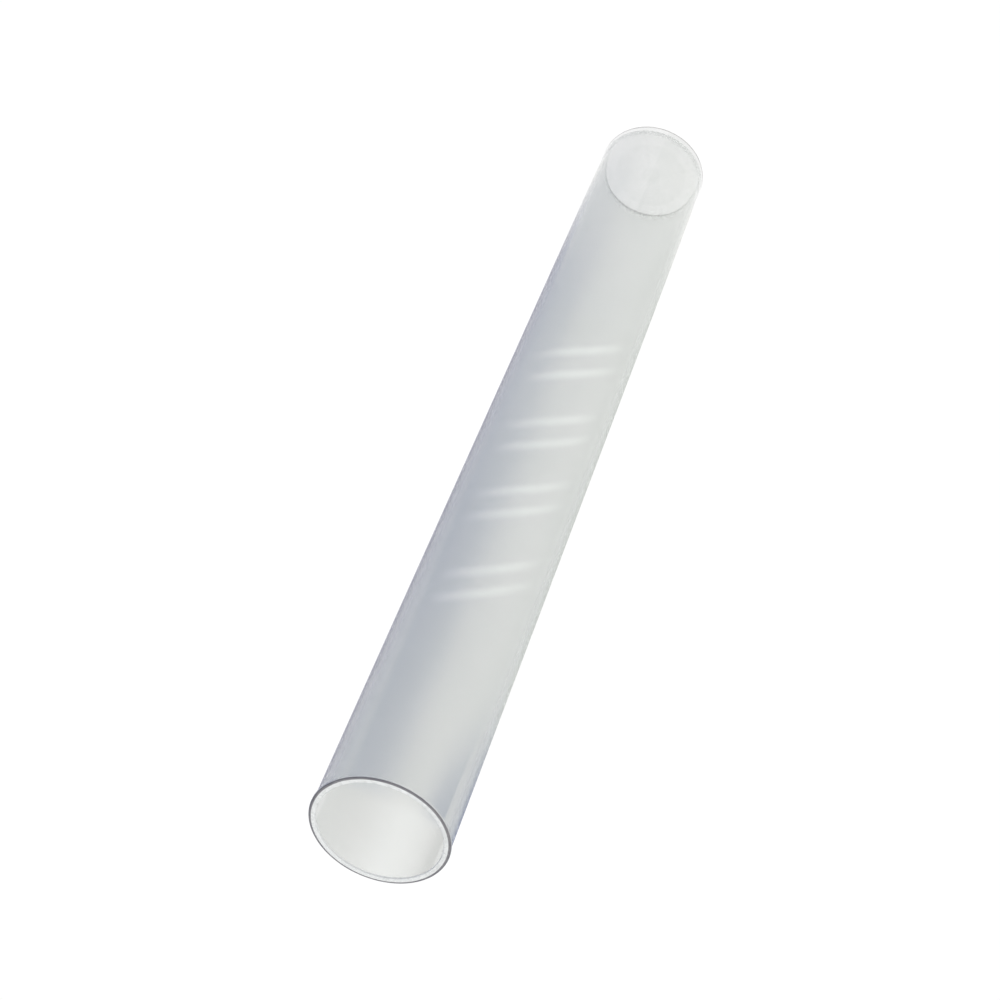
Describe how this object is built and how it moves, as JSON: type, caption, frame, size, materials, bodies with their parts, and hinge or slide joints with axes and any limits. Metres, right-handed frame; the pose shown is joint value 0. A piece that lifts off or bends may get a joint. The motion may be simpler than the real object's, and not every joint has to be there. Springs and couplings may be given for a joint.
{
  "type": "rain gauge measuring tube",
  "caption": "Long clear plastic tube with a small polished bead round its open mouth and a flat disc cemented across its lower end; it collects and measures rain under a gauge's funnel.",
  "frame": {"origin": "centre of the flat base that the tube stands on", "axes": "+Z along the tube from its base to its open mouth; the tube is round, so +X and +Y are any two directions across it"},
  "size_m": [0.0362, 0.0362, 0.3175],
  "materials": {
    "clear_tube": "clear extruded tube, smooth and slightly hazy, with a heat-polished mouth",
    "clear_sheet": "clear sheet, slightly hazy",
    "cement": "dried solvent cement, slightly milky with a few small bubbles"
  },
  "bodies": {
    "root": {"tube": "clear_tube", "base_disc": "clear_sheet", "cement_seam": "cement"}
  },
  "joints": []
}
